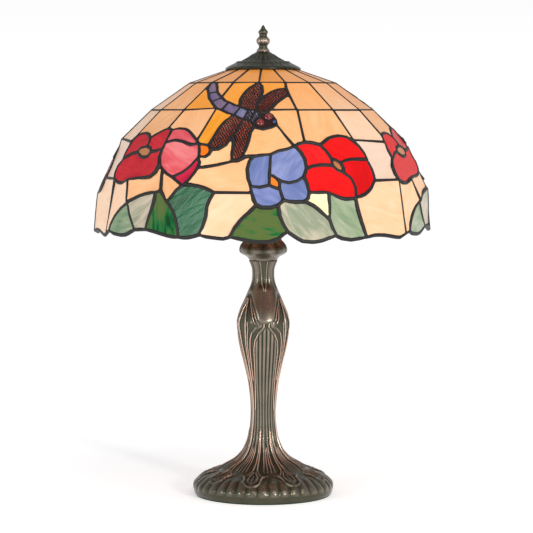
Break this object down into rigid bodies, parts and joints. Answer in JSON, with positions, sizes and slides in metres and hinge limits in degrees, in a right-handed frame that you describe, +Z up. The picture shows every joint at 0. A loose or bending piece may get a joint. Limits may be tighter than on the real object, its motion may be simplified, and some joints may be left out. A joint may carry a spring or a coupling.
{
  "type": "stained glass table lamp",
  "caption": "Table lamp with a domed leaded glass shade of flowers, leaves and dragonflies on a cast baluster base, with a lift-off shade, heat cap and finial.",
  "frame": {"origin": "centre of the foot's underside", "axes": "+Z up along the lamp's axis, the front of the lamp faces -Y, +X to the right seen from the front"},
  "size_m": [0.4023, 0.4011, 0.564],
  "materials": {
    "ground_cream": "streaky opalescent art glass",
    "ground_peach": "streaky opalescent art glass",
    "ground_amber": "streaky opalescent art glass",
    "ground_honey": "streaky opalescent art glass",
    "ground_rose_white": "streaky opalescent art glass",
    "ground_straw": "streaky opalescent art glass",
    "poppy_petals": "streaky opalescent art glass",
    "small_poppy_petals": "streaky opalescent art glass",
    "poppy_centres": "streaky opalescent art glass",
    "bud_petals": "streaky opalescent art glass",
    "bud_folds": "streaky opalescent art glass",
    "bud_sepals": "streaky opalescent art glass",
    "blue_petals": "streaky opalescent art glass",
    "dark_leaves": "streaky opalescent art glass",
    "mottled_leaves": "streaky opalescent art glass",
    "grey_leaves": "streaky opalescent art glass",
    "pale_leaves": "streaky opalescent art glass",
    "dragonfly_tails": "streaky opalescent art glass",
    "dragonfly_bodies": "streaky opalescent art glass",
    "dragonfly_wings": "streaky opalescent art glass",
    "dragonfly_heads": "streaky opalescent art glass",
    "red_cabochon": "polished cabochon",
    "blue_cabochon": "polished bead",
    "opal_glass": "opal",
    "solder": "dark patina, satin",
    "bronze_patina": "rubbed bronze, satin",
    "brass": "satin",
    "steel": "zinc plated",
    "iron": "rough",
    "aluminium_cap": "satin",
    "ceramic": "glazed",
    "black_plastic": "matt",
    "felt": "felt"
  },
  "bodies": {
    "base": {"felt_pad": "felt", "bottom_plate": "steel", "base_foot": "bronze_patina", "base_column": "bronze_patina", "base_neck": "bronze_patina", "base_weight": "iron", "stem_tube": "steel", "stem_washer": "steel", "stem_nut": "steel", "cable_bush": "black_plastic", "neck_collar": "bronze_patina", "stem_sleeve": "brass", "cluster_body": "brass", "lamp_arm_left": "brass", "lamp_arm_right": "brass", "lamp_shell_left": "brass", "lamp_shell_right": "brass", "lamp_insert_left": "ceramic", "lamp_insert_right": "ceramic", "lamp_contact_left": "brass", "lamp_contact_right": "brass", "thread_sleeve_left": "brass", "thread_sleeve_right": "brass", "shade_rod": "brass", "rod_nut": "brass"},
    "bulb_left": {"bulb_cap_left": "aluminium_cap", "bulb_globe_left": "opal_glass"},
    "bulb_right": {"bulb_cap_right": "aluminium_cap", "bulb_globe_right": "opal_glass"},
    "shade_wheel": {"shade_wheel": "brass"},
    "shade": {"top_ring": "brass", "ground_cream": "ground_cream", "ground_peach": "ground_peach", "ground_amber": "ground_amber", "ground_honey": "ground_honey", "ground_rose_white": "ground_rose_white", "ground_straw": "ground_straw", "poppy_petals": "poppy_petals", "small_poppy_petals": "small_poppy_petals", "poppy_centres": "poppy_centres", "bud_petals": "bud_petals", "bud_folds": "bud_folds", "bud_sepals": "bud_sepals", "blue_petals": "blue_petals", "dark_leaves": "dark_leaves", "mottled_leaves": "mottled_leaves", "grey_leaves": "grey_leaves", "pale_leaves": "pale_leaves", "dragonfly_tails": "dragonfly_tails", "dragonfly_bodies": "dragonfly_bodies", "dragonfly_wings": "dragonfly_wings", "dragonfly_heads": "dragonfly_heads", "foil_lattice": "solder", "dragonfly_eyes": "red_cabochon", "dragonfly_beads": "blue_cabochon"},
    "heat_cap": {"heat_cap": "bronze_patina"},
    "finial": {"finial": "bronze_patina"}
  },
  "joints": [
    {"name": "shade_turn", "type": "hinge", "parent": "base", "child": "shade_wheel", "pos_m": [0, 0, 0.5], "axis": [0, 0, 1], "continuous": true},
    {"name": "shade_lift", "type": "slide", "parent": "shade_wheel", "child": "shade", "axis": [0, 0, 1], "range_m": [0, 0.24]},
    {"name": "cap_lift", "type": "slide", "parent": "shade", "child": "heat_cap", "axis": [0, 0, 1], "range_m": [0, 0.04]},
    {"name": "finial_lift", "type": "slide", "parent": "heat_cap", "child": "finial", "axis": [0, 0, 1], "range_m": [0, 0.03]},
    {"name": "bulb_left_turn", "type": "hinge", "parent": "base", "child": "bulb_left", "pos_m": [-0.012, 0, 0.352], "axis": [-0.766, 0, 0.6428], "continuous": true},
    {"name": "bulb_right_turn", "type": "hinge", "parent": "base", "child": "bulb_right", "pos_m": [0.012, 0, 0.352], "axis": [0.766, 0, 0.6428], "continuous": true}
  ]
}
